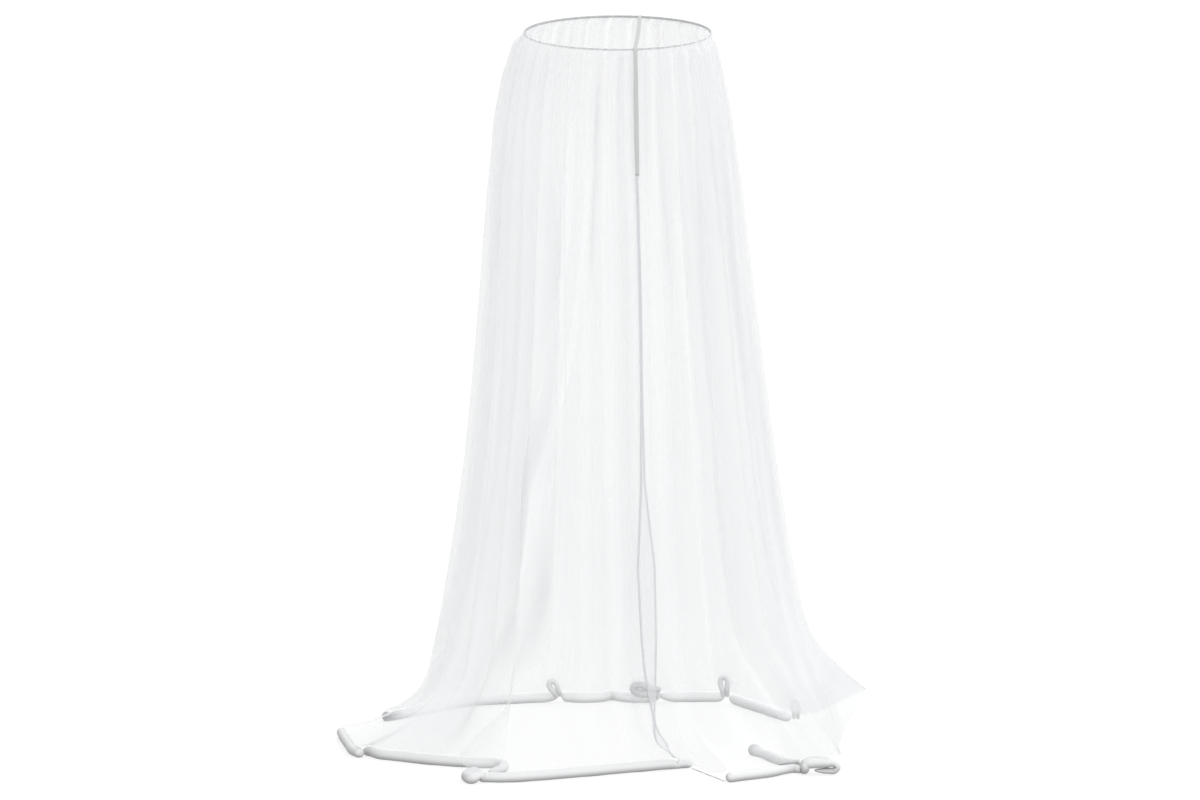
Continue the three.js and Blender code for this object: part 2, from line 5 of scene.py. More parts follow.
import bpy
import numpy as np
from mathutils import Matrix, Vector

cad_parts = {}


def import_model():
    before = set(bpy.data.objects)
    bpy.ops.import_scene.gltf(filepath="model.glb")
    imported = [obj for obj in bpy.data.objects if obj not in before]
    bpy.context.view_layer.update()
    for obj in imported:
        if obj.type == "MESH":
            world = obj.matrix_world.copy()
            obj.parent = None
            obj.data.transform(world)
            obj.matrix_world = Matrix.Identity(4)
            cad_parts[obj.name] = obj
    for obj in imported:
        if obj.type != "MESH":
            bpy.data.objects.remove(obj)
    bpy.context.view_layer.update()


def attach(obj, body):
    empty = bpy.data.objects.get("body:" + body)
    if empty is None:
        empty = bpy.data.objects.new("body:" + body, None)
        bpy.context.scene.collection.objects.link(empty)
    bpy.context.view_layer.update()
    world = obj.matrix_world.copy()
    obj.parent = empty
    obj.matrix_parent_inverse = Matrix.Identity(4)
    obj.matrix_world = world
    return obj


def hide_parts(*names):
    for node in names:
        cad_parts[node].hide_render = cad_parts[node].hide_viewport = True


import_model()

# Directions of the frame
RIGHT, BACK, UP = np.eye(3)

# Sizes in millimetres, plan positions from a point near the middle of the footprint
MM = 0.001
PLAN_MIDDLE = np.array([4, -8.5, 0])
RING = {"x": 56, "y": 40, "height": 2200, "radius": 284, "wire": 3, "steps": 180, "sides": 14}
NET_TOP = 2195.8
PANEL_GAP = 10
PANEL_GAP_DROP = 60
EDGE_HEM = {"left": 5.6, "right": 7.2, "thickness": 1.6, "rows": 240, "beside": 0.002}
WEIGHT_RADIUS = 16
WEIGHT_RISE = 15.2
# The corner fold's mouth values paint shade inside the fold, towards its lower run
CORNER_FOLD = {"radius": 12, "stretch": 1.4, "mouth": 0.85, "mouth_top": 26, "mouth_foot": 0.4, "seed": 41}
COLLAR = {"x": 627, "y": -478, "radius": 20, "rise": 25, "length": 28, "lean": 0.16, "sides": 64}
COLLAR_PLEATS = {"count": 11, "depth": 0.045, "drift": 1.5, "drift_waves": 2}
TAPE = {"width": 11.5, "thickness": 1.4, "slant": 7, "step": 6}
FLOOR_GAP = 0.3

# Steps along each kind of sleeve and points round it
SLEEVE_STEP = {"tube": 4, "loop": 2.5, "corner": 2.5, "strand": 3}
SLEEVE_SIDES = {"tube": 28, "loop": 20, "corner": 32, "strand": 16}
SPLINE = {"samples": 30, "shortest": 0.01, "fewest": 4}

# Metres of weave between points round a front edge, for a radian of the collar and for half its length
EDGE_WEAVE = 0.002
COLLAR_WEAVE = {"round": 0.018, "along": 0.012}

# Folds of the net
FOLD_COUNT = 30
PLAIN_EDGE_TURN = 9
PANEL_EDGE_TURN = 18
FLARE_POWER = 2.2
DEEP_FOLD_FADE = {"top": 500, "bottom": 300}
FOLD_DEPTHS = {"usual": 0.78, "change": 0.3, "waves": 5, "phase": 1.3, "slow_waves": 2, "slow_phase": 0.4}
CASING = {"gap": 1.6, "folds": 0.25, "drop": 6, "span": 30}
EDGE_ON_WEIGHT = 34
EDGE_ON_FLOOR = 7
USUAL_FLARE = 420


def table(columns, *rows):
    """A table of numbers, as one array for each named column."""
    return dict(zip(columns.split(), np.array(rows, float).T))


def named_rows(columns, **rows):
    """A table of numbers, as one set of named values for each named row."""
    return {name: dict(zip(columns.split(), row)) for name, row in rows.items()}


def spot(x, y, turn=None, lift=0, size=1, edge=None, flare=USUAL_FLARE):
    """One place along the hem, with the turn of the ring that the net above it hangs from."""
    return {"x": x, "y": y, "turn": turn, "lift": lift, "size": size, "edge": edge, "flare": flare}


def hem_run(tube_name, spots):
    """Spots in a row on one weight tube, or on none, with the usual height of the net's edge there."""
    usual = EDGE_ON_WEIGHT if tube_name else EDGE_ON_FLOOR
    return [row | {"tube": tube_name, "edge": row["edge"] or usual} for row in spots]


def tone_line(width, change, *route):
    """One soft line down the cloth: its width, the layers that it adds, and its drops and turns."""
    return table("drop turn", *route) | {"width": width, "change": change}


# Waves that shift the folds round the ring in degrees
FOLD_SHIFTS = table("waves degrees phase", (3, 3.2, 0.7), (7, 1.8, 2.1))

# The hang of the net by its drop below the ring
HANG = table(
    "drop spread lean slit overlap fold",
    (0, 0, 0, 11.0, 0.9, 5),
    (22, 0.045, -8, 12.2, 0.9, 13),
    (130, 0.129, -14, 12.4, 0.9, 17),
    (270, 0.208, -15, 12.4, 0.9, 19),
    (490, 0.285, -13, 12.9, 0.9, 21),
    (770, 0.358, -7, 12.6, 0.9, 23),
    (1050, 0.439, -2, 11.9, 0.8, 25),
    (1330, 0.536, 1, 11.5, 1.4, 26),
    (1580, 0.642, 1, 12.4, 4.2, 27),
    (1800, 0.760, 3, 12.6, 3.5, 28),
    (1890, 0.818, 4, 12.6, 2.8, 28),
    (2040, 0.915, 3, 13.8, 0.6, 26),
    (2060, 0.9256, 3, 14.06, 0.6, 25.25),
    (2095, 0.9442, 3, 14.6, 1.5, 23.9),
    (2123, 0.9591, 3, 15.0, 2.8, 22.9),
    (2158, 0.9777, 3, 15.35, 0.4, 21.6),
    (2200, 1, 3, 15.9, 0.6, 20),
)

# Radius that the hanging net would reach at the floor, by compass angle from the front
REACH = table("angle radius", (-360, 455), (-270, 632), (-180, 470), (-90, 600), (0, 455), (90, 632))

# Deep folds of the hang, as in the solid
DEEP_FOLDS = table(
    "turn width depth start end",
    (5, 4, 22, 150, 2050),
    (37, 4, -18, 200, 2100),
    (43, 3, 24, 200, 2000),
    (50, 4, -20, 300, 2100),
    (96, 7, 26, 200, 1900),
    (148, 6, 24, 400, 2000),
    (205, 6, -20, 500, 2000),
    (246, 7, 26, 300, 1900),
    (296, 6, 26, 200, 1900),
    (322, 5, 30, 150, 2000),
)

# The hem from the left front edge round to the right one
HEM = [
    *hem_run("front", [
        spot(284, -380, size=0.74), spot(262, -388, size=0.86), spot(244, -395, size=0.86),
        spot(233, -399, 0, size=0.7, flare=130), spot(221, -403, size=0.96),
        spot(124, -439, 12, flare=260), spot(-50, -511, 24, flare=340), spot(-180, -562, 34, flare=380),
        spot(-293, -592, 40), spot(-350, -588, 44), spot(-366, -595, lift=7, size=0.9),
        spot(-388, -609.1, 46, size=1.05), spot(-404, -568, 48), spot(-382, -514, 50),
        spot(-356, -503, 51, size=0.7),
    ]),
    *hem_run("front_left", [
        spot(-337, -499, 52, size=0.6), spot(-302, -470, 53, size=0.9), spot(-292, -425, 54),
        spot(-318, -391, 56), spot(-366, -386, 58), spot(-486, -352, 66, flare=360),
        spot(-591, -302, 74, flare=300), spot(-668, -260, 79, flare=260),
        spot(-702, -218, 83, size=0.95, flare=230), spot(-722, -201, size=0.7),
    ]),
    *hem_run(None, [spot(-738, -250, 86, edge=EDGE_ON_WEIGHT, flare=220)]),
    *hem_run("left", [
        spot(-727, -251, size=0.95), spot(-752, -205), spot(-766, -126, 90, flare=200),
        spot(-783, -14, 97, flare=180), spot(-793, 66, 103, flare=165),
    ]),
    *hem_run(None, [spot(-752, 152, 110, flare=200), spot(-706, 218, 115, flare=230)]),
    *hem_run("left_back", [
        spot(-667, 276, 119, size=1.08, flare=240), spot(-640, 294, size=0.74),
        spot(-624, 306, 123, size=0.9, flare=240), spot(-523, 400, 133, flare=230),
        spot(-400, 503, 147, flare=230), spot(-277, 538, 157, flare=250), spot(-174, 558, 167, flare=260),
        spot(-129, 566, 170.5, lift=8, size=0.75, flare=600),
    ]),
    *hem_run("back", [
        spot(-118, 567, 172, lift=8, size=0.75, flare=600), spot(-98, 566, 175, flare=260),
        spot(-44, 555, 180, flare=260), spot(0, 563, 185, flare=260), spot(36, 592.2, 189, flare=260),
        spot(72, 568, 192, flare=300), spot(104, 557, 196, flare=360), spot(140, 555, 199, flare=420),
        spot(182, 558, 203, lift=8, size=0.75, flare=420), spot(189, 559, lift=12, size=0.6),
    ]),
    *hem_run("back_right", [
        spot(188, 560, lift=22, size=0.4), spot(193, 560, 204.5, lift=12, size=0.7, flare=420),
        spot(236, 566, 209, flare=300), spot(281, 569, 214, flare=260), spot(362, 567, 221, flare=320),
        spot(390, 564, 224.5, lift=8, size=0.75, flare=600),
    ]),
    *hem_run("right_back", [
        spot(408, 549, 226.5, lift=6, size=0.75, flare=600), spot(423, 521, 229, flare=600),
        spot(496, 409, 241, flare=330), spot(574, 286, 255, flare=400),
        spot(591, 272, 257.5, lift=4, size=0.75),
    ]),
    *hem_run(None, [
        spot(622, 264, 261, edge=24), spot(676, 300, 263, edge=24),
        spot(826, 484, 267, edge=58, flare=470), spot(762, 206, 274, flare=450), spot(738, -45, 287),
        spot(732, -240, 303), spot(738, -372, 309, edge=44), spot(735, -436, 314, edge=66),
        spot(694, -492, 319, edge=58), spot(628, -480, 324, edge=52),
    ]),
    *hem_run("front_right", [
        spot(622, -470, size=0.7), spot(611, -463, size=0.75), spot(592, -456, 327, size=0.85),
        spot(504, -526, 337, flare=300), spot(412, -581, 345, edge=37, flare=200),
        spot(386, -597, 346.5, edge=40, flare=190),
    ]),
    *hem_run(None, [
        spot(372, -560, 348, edge=22, flare=180), spot(340, -513, 351, edge=12, flare=160),
        spot(284, -434, 356, edge=12, flare=130), spot(240, -416, 360, edge=EDGE_ON_WEIGHT, flare=130),
    ]),
]
NET_HEM_COLUMNS = ("turn", "x", "y", "edge", "flare")
NET_HEM = table(
    " ".join(NET_HEM_COLUMNS),
    *[[row[column] for column in NET_HEM_COLUMNS] for row in HEM if row["turn"] is not None],
)

# The folded-back tube inside the front right corner, from its knob to the collar
FOLDED_WEIGHT = [
    spot(464, -198, size=1.18), spot(498, -248, size=0.92), spot(531, -315),
    spot(560, -368, lift=4, size=0.8), spot(588, -404, lift=12, size=0.6),
    spot(608, -424, lift=18, size=0.5), spot(622, -460, lift=14, size=0.5),
]

# The empty hem sleeve between the two front tubes, rolled to a thin strand on the floor, made paler by its
# gain, which is painted light
STRAND = {"radius": 4, "gain": 1.8}
STRAND_TWIST = {"flutes": 3, "depth": 0.5, "pitch": 9, "swell": 0.25, "swell_pitch": 14}
STRAND_LINE = [(284, -402), (322, -472), (382, -582)]

# Middle line of the sleeve that is folded under itself at the front right corner, with its plumpness
CORNER_FOLD_LINE = table(
    "x y z size",
    (622, -474, 32, 1.3), (648, -475, 36, 1.5), (690, -476, 37, 1.3), (716, -477, 35, 1.05),
    (725, -477, 23, 0.85), (716, -477, 12, 0.85), (690, -477, 11, 0.8), (655, -476, 12, 0.45),
)

# Middle line of a loop of slack sleeve from foot to foot, and the loops where two tubes meet
LOOP_LINE = table(
    "side rise back",
    (-0.46, 0, 1), (-0.46, 0.14, 0.7), (-0.5, 0.38, 0.15), (-0.7, 0.62, 0),
    (-0.68, 0.84, 0), (-0.36, 0.97, 0), (0, 1, 0), (0.36, 0.97, 0),
    (0.68, 0.84, 0), (0.7, 0.62, 0), (0.5, 0.38, 0.15), (0.46, 0.14, 0.7),
    (0.46, 0, 1),
)
# Each loop's gain is painted light and shade in its colour: below 1 darker, above 1 paler
HEM_LOOPS = named_rows(
    "x y z heading roll width length back radius gain",
    left=(-124, 530, 20, 3, -26, 30, 58, 20, 8, 0.94),
    back=(188, 530, 34, 2, -77, 36, 84, 12, 11.5, 0.62),
    right=(390, 512, 24, 0, -5, 30, 66, 14, 7.5, 0.92),
    side=(604, 236, 14, -6, 3, 29, 65, 20, 5.8, 1.3),
)

# Route of the draw tape, from the back of the ring over its front and down along the slit
TAPE_ROUTE = [
    (124, 315, 2205), (124, 290, 2204), (123, 250, 2200.5), (122, 200, 2196.5), (120, 140, 2192.5),
    (118, 80, 2190), (116, 20, 2189), (114, -40, 2189.5), (112, -100, 2192), (111, -150, 2195.5),
    (110, -195, 2200), (109, -228, 2204), (109, -243, 2205.5), (109, -254, 2203), (109, -262, 2195),
    (110, -268, 2182), (110, -273, 2160), (111, -278, 2125), (112, -284, 2080), (113, -290, 2020),
    (114, -296, 1950), (115, -302, 1880), (116, -306, 1818),
]

# Cross sections of the sewn front edges and of the tape, and the collar's outline along its length
EDGE_SECTION = table(
    "side out",
    (-0.08, 0.3), (-0.08, -0.3), (0.15, -1), (0.9, -0.8), (1, -0.2), (1, 0.2), (0.9, 0.8), (0.15, 1),
)
TAPE_SECTION = table(
    "side out",
    (-1, 0.5), (-0.94, -1), (-0.4, -0.6), (0.4, -0.6), (0.94, -1), (1, 0.5), (0.4, 1), (-0.4, 1),
)
COLLAR_OUTLINE = table(
    "place size",
    (-1, 0.12), (-1, 0.5), (-0.86, 0.76), (-0.5, 0.95), (0, 1),
    (0.5, 0.95), (0.86, 0.76), (1, 0.5), (1, 0.12),
)

# The netting's rolled top, up and outwards from the middle of the wire, and its levels on the flat cloth
TOP_ROLL = table("rise out", (4.4, -0.5), (4.0, 2.2), (2.2, 4.0), (-1.0, 4.6))
TOP_ROLL_LEVELS = (-0.012, -0.003)

# Finer folds of the cloth: gathers under the ring, whose depth fades with the drop
FINE_GATHERS = table("folds share phase", (64, 1.0, 0.3), (103, 0.55, 1.9), (151, 0.3, 0.8))
FINE_DEPTH = table(
    "drop depth",
    (0, 1), (12, 2.2), (70, 3.2), (220, 2.2), (480, 1.1), (900, 0.6), (2200, 0.4),
)
GATHER_WANDER = {"swing": 0.9, "waves": 3, "drop": 900, "drop_waves": 5}
GATHER_STRENGTH = {"usual": 0.65, "change": 0.5, "waves": 7, "phases": 3}

# How many layers deep the netting is bunched, round the ring and by the drop
BUNCHED_ROUND = table(
    "turn layers",
    (0, 1.05), (7, 1.15), (10, 0.95), (25, 0.85), (34, 0.85), (41, 1.05), (47, 1.1), (53, 1.45), (62, 1.65),
    (75, 1.5), (86, 1.1), (94, 0.75), (104, 0.75), (114, 1.2), (128, 1.35), (150, 1), (180, 0.95), (210, 1),
    (240, 1.2), (254, 1.1), (264, 0.8), (276, 0.8), (286, 1.3), (300, 1.5), (316, 1.2), (332, 0.9),
    (350, 0.9), (360, 1),
)
BUNCHED_DOWN = table(
    "drop layers",
    (0, 1.7), (60, 1.55), (200, 1.25), (500, 1.1), (1000, 1), (1500, 1.08), (2200, 1.25),
)
THINNEST = 0.15

# Change of the layers near the floor, where the netting spreads or crowds
LOW_CHANGE = table(
    "turn share",
    (0, 0.9), (5, 0.9), (9, 0.72), (42, 0.72), (52, 1.12), (88, 1.12), (100, 0.7), (125, 0.8), (245, 0.8),
    (258, 1.6), (280, 1.6), (292, 0.85), (325, 0.75), (351, 0.72), (355, 0.9), (360, 0.9),
)
LOW_CHANGE_FROM = {"drop": 1750, "span": 330}

# Fine streaks of the netting, which fade with the drop
STREAKS = table("folds drift share", (31, 1.2, 0.5), (57, 2.3, 0.8), (88, 0.7, 0.5), (134, 3.1, 0.3))
STREAK_DEPTH = table("drop share", (0, 0.3), (250, 0.14), (700, 0.05), (2200, 0.03))
STREAK_WANDER = {"waves": 4, "drop": 700}
STREAK_LIMITS = (0.3, 2)

# The dense band at the left leans with the drop
BAND_SLIDE = table(
    "drop turns",
    (0, 0), (330, -2), (790, -9), (1230, -10), (1570, 1), (1830, 9), (1950, 14), (2200, 20),
)
LEFT_BAND = {"turn": 50, "width": 30}

# Low down a dense veil hangs at the left, made paler by painted light in its shade column, the front left
# corner is thin and the wing's root is denser
LOW_PATCHES = table(
    "turn width drop span layers shade",
    (81, 12, 2070, 80, 3.6, 0.07),
    (53, 4, 2160, 130, -1.2, 0),
    (268, 9, 2090, 110, 0.8, 0),
)

# Soft light and dark lines down the cloth: they change the layers, and through LINE_SHADE they paint shade
# on the dark lines and light on the light ones
TONE_LINES = [
    tone_line(1.5, -0.65, (307, 35.4), (611, 36.5), (918, 40), (1235, 45.8), (1533, 50.5), (1760, 55)),
    tone_line(1.3, -0.5, (359, 24.1), (700, 30.5), (1018, 35.9), (1417, 46)),
    tone_line(2.6, 0.7, (1230, 48.6), (1546, 54), (1763, 57.5), (1910, 61), (2060, 65)),
    tone_line(2.4, 0.25, (1378, 38.5), (1542, 43)),
    tone_line(2.4, 0.7, (1700, 46), (1750, 47), (1897, 49.5), (1990, 53)),
    tone_line(1.4, -0.35, (299, 15.8), (611, 19), (914, 17.5), (1300, 17)),
    tone_line(1.2, 0.8, (200, 22), (303, 22.3), (611, 24.5)),
    tone_line(1.6, -0.35, (302, 351), (608, 352.6), (914, 352.6), (1300, 353)),
    tone_line(1.8, -0.35, (600, 341), (918, 338.9), (1239, 333)),
    tone_line(1.6, 0.5, (200, 346), (303, 346.5), (611, 344)),
]
LINE_FADE = 160

# Painted shade kept in the netting's colour: painted shade and light along the soft lines, and painted
# shade where its foot spreads at the right
LINE_SHADE = {"change": 0.15, "darkest": 0.7, "lightest": 1.12}
RIGHT_FOOT = table(
    "turn shade",
    (250, 0), (262, 0.05), (274, 0.07), (284, 0.13), (302, 0.18), (314, 0.12), (324, 0),
)
RIGHT_FOOT_FROM = {"drop": 1970, "span": 150}

# The fold of the front left corner hangs over the tube behind it
CORNER_BULGE = {"turn": 47.5, "width": 2.4, "out": -62, "from": 240, "full": 90, "hem": 30}

# Creases placed one by one: they slide round the ring as they run down. A negative depth stands out.
CREASES = table(
    "top_turn low_turn start end width depth",
    (34, 62, 120, 2050, 2.2, -11),
    (30, 44, 140, 1300, 1.8, -9),
    (38, 66, 260, 2080, 2.0, 12),
    (24, 30, 180, 1500, 1.7, 8),
    (18, 20, 100, 1200, 1.6, -7),
    (8, 7, 300, 2050, 2.6, 10),
    (63, 72, 150, 1900, 2.4, 10),
    (72, 84, 200, 1950, 2.0, -10),
    (80, 92, 250, 1850, 2.2, 11),
    (352, 350, 250, 1900, 2.4, 9),
    (343, 338, 120, 1700, 2.0, -9),
    (336, 326, 180, 1950, 2.2, 12),
    (328, 316, 220, 2000, 2.0, -10),
    (310, 300, 150, 1900, 2.4, 11),
    (296, 288, 250, 1850, 2.2, -10),
    (112, 118, 250, 1900, 2.4, 10),
    (136, 134, 200, 1850, 2.2, -9),
    (164, 166, 220, 1900, 2.4, 11),
    (186, 190, 250, 1800, 2.0, -9),
    (216, 220, 200, 1900, 2.4, 11),
    (232, 236, 220, 1850, 2.2, -9),
    (262, 262, 250, 1900, 2.4, 10),
)
CREASE_FADE = 260
CREASE_LIPS = 0.6

# Grid of the netting: columns along the cloth, and rows by their share of the way down
NET_COLUMNS = 690
NET_ROWS = table("share count", (0, 0), (0.03, 13), (0.2, 27), (0.8, 78), (0.86, 88), (1, 125))
FLAT_CLOTH = (4.9, 2.24)

# Painted shade on the hem sleeves: darker on their undersides, which see the floor from close by, near the
# floor and on the sides that face left
UNDERSIDE = {"shade": 0.36, "turned": 0.9, "span": 1.35, "contact": 0.55, "reach": 5, "left": 0.5}

# Painted light on the tubes that lie inside the net, which makes them paler, and painted shade on one end
# of two of them
INSIDE_PAINTED_LIGHT = {"left_back": 1.06, "back": 1.06, "back_right": 1.06, "right_back": 1.17}
PAINTED_KNOB_SHADE = named_rows("gain reach", left_back=(0.2, 84), folded_back=(0.5, 48))

# Plumpness, dents, wrinkles and twist of the sleeves
END_ROUNDNESS = 0.97
END_BUMPS = 1.4
SWELLS = table("depth pitch", (0.35, 33), (0.22, 13))
WRINKLES = {"depth": 2.1, "pitch": 11, "level": 0.6, "inside": 0.2, "most": 0.8}
WRINKLE_DRIFT = {"swing": 0.8, "pitch": 17}
TWIST = {"depth": 0.25, "lobes": 3, "pitch": 21}
BUMP_PHASES = 5

# Light through a gap of the net and how much less through a thread, and cover of its sewn edges likewise
NET_OPEN = {"gaps": 0.69, "threads": 0.3}
EDGE_COVER = {"gaps": 0.6, "threads": 0.3}

# Socket numbers of a Mix node for colours
MIX = {"share": 0, "first": 6, "second": 7, "colour": 2}
NOISE_DETAIL = 3

# Light of the room, of the soft sun and of the floor, whose half width is in metres
ROOM_LIGHT = {"From Min": -1, "From Max": 1, "To Min": 0.92, "To Max": 1.05}
SUN = {"strength": 0.7, "angle": 50, "from": (0.55, 0.45, 1)}
FLOOR_GLOW = 0.77
FLOOR_REACH = 60

# The camera of the photograph: far off, with a long lens
CAMERA = {"distance": 60.0, "elevation": 11.325, "target": (-0.002, 0.0485, 1.05886), "mm_per_pixel": 3.061}
SENSOR_WIDTH = 36
PHOTO_WIDTH = 1200
CLIP_END = 400
SEE_THROUGH_LAYERS = 48


def mix(first, second, share):
    """A value between two others."""
    return first + (second - first) * share


def smooth(value):
    """A share that eases in and out between 0 and 1."""
    share = np.clip(value, 0, 1)
    return share * share * (3 - 2 * share)


def wave(turns, phase=0):
    """A sine wave by its number of turns."""
    return np.sin(2 * math.pi * turns + phase)


def bell(value):
    """A soft hump: 1 at nought, fading on both sides."""
    return np.exp(-value * value)


def fade_in_out(place, start, end, rise, fall):
    """A share that grows from the start over the rise, and shrinks over the fall to the end."""
    return smooth((place - start) / rise) * smooth((end - place) / fall)


def unit(vectors):
    """Directions of length 1."""
    return vectors / np.linalg.norm(vectors, axis=-1, keepdims=True)


def full_turn(count):
    """Evenly spaced angles all the way round."""
    return np.linspace(0, 2 * math.pi, count, endpoint=False)


def pairs(first, second):
    """Two numbers for each point of a grid."""
    return np.stack(np.broadcast_arrays(first, second), axis=-1)


def run_along(line):
    """Distance of each point of a line from its start."""
    return np.concatenate([[0], np.cumsum(np.linalg.norm(np.diff(line, axis=0), axis=1))])


def world(points):
    """Millimetre plan points as metres in the part's frame."""
    return (np.asarray(points, float) - PLAN_MIDDLE) * MM


def read_table(rows, column, place):
    """One column of a table, at places along its first column."""
    along = next(iter(rows.values()))
    return np.interp(place, along, rows[column])


# The netting's surface

def reach_at(angle):
    """Radius of the hang at the floor, eased between the four sides."""
    after = np.clip(np.searchsorted(REACH["angle"], angle), 1, len(REACH["angle"]) - 1)
    start = REACH["angle"][after - 1]
    share = (angle - start) / (REACH["angle"][after] - start)
    return mix(REACH["radius"][after - 1], REACH["radius"][after], smooth(share))


def uneven_turn(share):
    """Angle round the ring by the share along the cloth, still at both front edges."""
    swell = np.sin(math.pi * share)
    shift = 0
    for waves, degrees, phase in zip(*FOLD_SHIFTS.values()):
        shift = shift + degrees * wave(waves * share, phase)
    return 360 * share + swell * swell * shift


def drop_at(level):
    """Drop below the ring at a level down the cloth."""
    return RING["height"] - mix(NET_TOP, 0, level)


def uneven_depth(share):
    """How deep the folds are along the cloth, as a share of their table's depth."""
    quick = wave(FOLD_DEPTHS["waves"] * share, FOLD_DEPTHS["phase"])
    slow = wave(FOLD_DEPTHS["slow_waves"] * share, FOLD_DEPTHS["slow_phase"])
    return FOLD_DEPTHS["usual"] + FOLD_DEPTHS["change"] * quick * slow


def main_folds(share, turn, drop):
    """The folds that the solid has."""
    depth = read_table(HANG, "fold", drop) * uneven_depth(share) * wave(FOLD_COUNT * share)
    for centre, width, deep, start, end in zip(*DEEP_FOLDS.values()):
        fade = fade_in_out(drop, start, end, DEEP_FOLD_FADE["top"], DEEP_FOLD_FADE["bottom"])
        depth = depth - deep * bell((turn - centre) / width) * fade
    return depth


def fine_folds(share, turn, drop):
    """The finer gathers under the ring and the listed creases."""
    depth = 0
    for folds, part, phase in zip(*FINE_GATHERS.values()):
        wander = GATHER_WANDER["swing"] * wave(GATHER_WANDER["waves"] * share, phase)
        wander = wander + drop / GATHER_WANDER["drop"] * wave(GATHER_WANDER["drop_waves"] * share, phase)
        change = wave(GATHER_STRENGTH["waves"] * share, GATHER_STRENGTH["phases"] * phase)
        strength = GATHER_STRENGTH["usual"] + GATHER_STRENGTH["change"] * change
        depth = depth + part * strength * wave(folds * share, wander)
    depth = depth * read_table(FINE_DEPTH, "depth", drop)
    for top_turn, low_turn, start, end, width, deep in zip(*CREASES.values()):
        centre = mix(top_turn, low_turn, np.clip((drop - start) / (end - start), 0, 1))
        across = (turn - centre) / width
        fade = fade_in_out(drop, start, end, CREASE_FADE, CREASE_FADE)
        depth = depth - deep * (1 - CREASE_LIPS * across * across) * bell(across) * fade
    return depth


def corner_bulge(turn, height, edge):
    """How far the fold at the front left corner swings out above its hem."""
    across = (turn - CORNER_BULGE["turn"]) / CORNER_BULGE["width"]
    rise = smooth((CORNER_BULGE["from"] - height) / (CORNER_BULGE["from"] - CORNER_BULGE["full"]))
    return CORNER_BULGE["out"] * bell(across) * rise * smooth((height - edge) / CORNER_BULGE["hem"])


def bunching(share, level):
    """Layers of netting at each point of the cloth, from its bunching, fine streaks and soft lines."""
    turn = uneven_turn(share)
    drop = drop_at(level)
    streaks = 0
    for folds, drift, part in zip(*STREAKS.values()):
        wander = drift * wave(STREAK_WANDER["waves"] * share, drop / STREAK_WANDER["drop"]) + drift
        streaks = streaks + part * wave(folds * share, wander)
    streaks = np.clip(1 + read_table(STREAK_DEPTH, "share", drop) * streaks, *STREAK_LIMITS)
    slide = read_table(BAND_SLIDE, "turns", drop)
    band = turn - slide * bell((turn - LEFT_BAND["turn"]) / LEFT_BAND["width"])
    layers = read_table(BUNCHED_ROUND, "layers", band)
    layers = layers * read_table(BUNCHED_DOWN, "layers", drop)
    low = smooth((drop - LOW_CHANGE_FROM["drop"]) / LOW_CHANGE_FROM["span"])
    layers = layers * mix(1, read_table(LOW_CHANGE, "share", band), low)
    layers = layers + low_patches("layers", turn, drop)
    return np.clip(layers * streaks + tone_lines(turn, drop), THINNEST, None)


def low_patches(column, turn, drop):
    """Change of one kind that the soft patches low on the cloth add up to."""
    change = 0
    patches = zip(*(LOW_PATCHES[key] for key in ("turn", "width", "drop", "span", column)))
    for centre, width, middle, span, most in patches:
        change = change + most * bell((turn - centre) / width) * bell((drop - middle) / span)
    return change


def net_shade(share, level):
    """Painted light and shade in the netting's colour: darker on dark lines and the right foot, lighter on
    light lines and the veil.
    """
    turn = uneven_turn(share)
    drop = drop_at(level)
    lines = 1 - LINE_SHADE["change"] * tone_lines(turn, drop)
    low = smooth((drop - RIGHT_FOOT_FROM["drop"]) / RIGHT_FOOT_FROM["span"])
    foot = 1 - low * read_table(RIGHT_FOOT, "shade", turn) + low_patches("shade", turn, drop)
    return np.clip(lines, LINE_SHADE["darkest"], LINE_SHADE["lightest"]) * foot


def tone_lines(turn, drop):
    """Layers that the soft lines add or take away."""
    layers = 0
    for line in TONE_LINES:
        across = (turn - read_table(line, "turn", drop)) / line["width"]
        first, last = line["drop"][[0, -1]]
        fade = fade_in_out(drop, first - LINE_FADE, last + LINE_FADE, LINE_FADE, LINE_FADE)
        layers = layers + line["change"] * bell(across) * fade
    return layers


def net_points(share, level):
    """Points of the netting, in millimetres, for shares along the cloth and levels down it."""
    turn = uneven_turn(share)
    edge = read_table(NET_HEM, "edge", turn)
    flare = read_table(NET_HEM, "flare", turn)
    height = mix(NET_TOP, edge, level)
    drop = RING["height"] - height
    left_edge = np.clip(1 - turn / PANEL_EDGE_TURN, 0, None)
    right_edge = np.clip(1 - (360 - turn) / PANEL_EDGE_TURN, 0, None)
    overlap = read_table(HANG, "overlap", drop) * (left_edge - right_edge)
    angle = read_table(HANG, "slit", drop) - turn + overlap
    away = smooth(drop / PANEL_GAP_DROP) * (PANEL_GAP / 2) * (right_edge - left_edge)
    calm = smooth(np.minimum(turn, 360 - turn) / PLAIN_EDGE_TURN)
    folds = calm * (main_folds(share, turn, drop) + fine_folds(share, turn, drop))
    radius = mix(RING["radius"], reach_at(angle), read_table(HANG, "spread", drop)) + folds + away
    casing = RING["radius"] + RING["wire"] + CASING["gap"] + CASING["folds"] * folds
    radius = mix(casing, radius, smooth((drop - CASING["drop"]) / CASING["span"]))
    axis = RING["x"] + read_table(HANG, "lean", drop)
    radians = np.radians(angle)
    fall = np.clip((flare - height) / (flare - edge), 0, 1) ** FLARE_POWER
    x = mix(axis + radius * np.sin(radians), read_table(NET_HEM, "x", turn), fall)
    x = x + corner_bulge(turn, height, edge)
    y = mix(RING["y"] - radius * np.cos(radians), read_table(NET_HEM, "y", turn), fall)
    return np.stack([x, y, height + 0 * x], axis=-1)


# Mesh helpers

